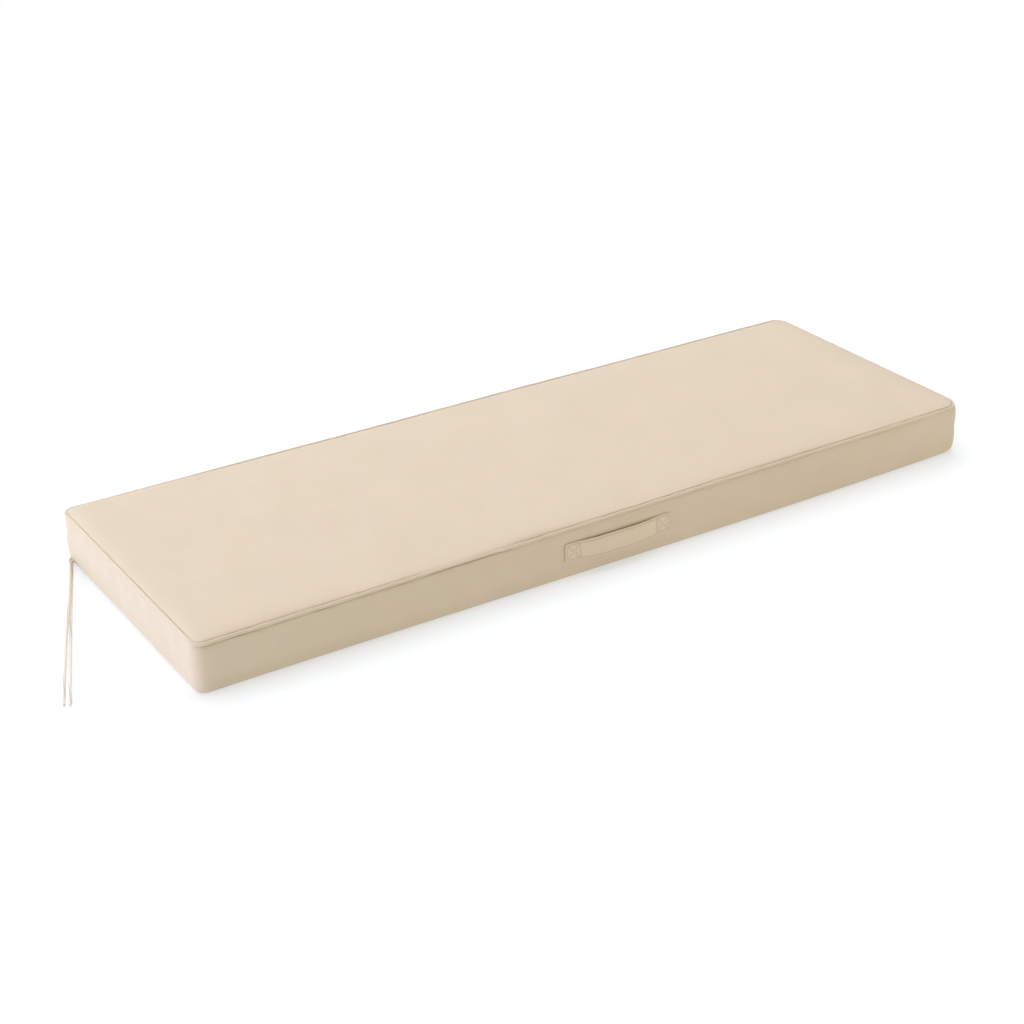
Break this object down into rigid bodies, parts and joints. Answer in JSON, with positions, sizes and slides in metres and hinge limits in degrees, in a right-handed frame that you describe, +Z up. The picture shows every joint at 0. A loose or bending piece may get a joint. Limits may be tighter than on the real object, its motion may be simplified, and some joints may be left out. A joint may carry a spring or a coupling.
{
  "type": "bench cushion",
  "caption": "Long flat boxed bench cushion with a piped top edge, a carrying handle on its front side and a pair of corner ties.",
  "frame": {"origin": "on the plane the cushion rests on, under the middle of the box of the cushion with its piping and handle", "axes": "+X along the cushion, away from the end with the ties; +Y from the side with the handle to the back; +Z up"},
  "size_m": [1.5356, 0.4771, 0.0903],
  "materials": {
    "cushion": "fine plain weave, matt, light beige",
    "piping": "the cover's own cloth round a cord, matt",
    "handle": "the cover's own cloth folded into a strap, matt",
    "tie": "narrow folded and sewn tail, matt"
  },
  "bodies": {
    "root": {"cushion": "cushion", "piping": "piping", "handle": "handle", "tie_left": "tie", "tie_right": "tie"}
  },
  "joints": []
}
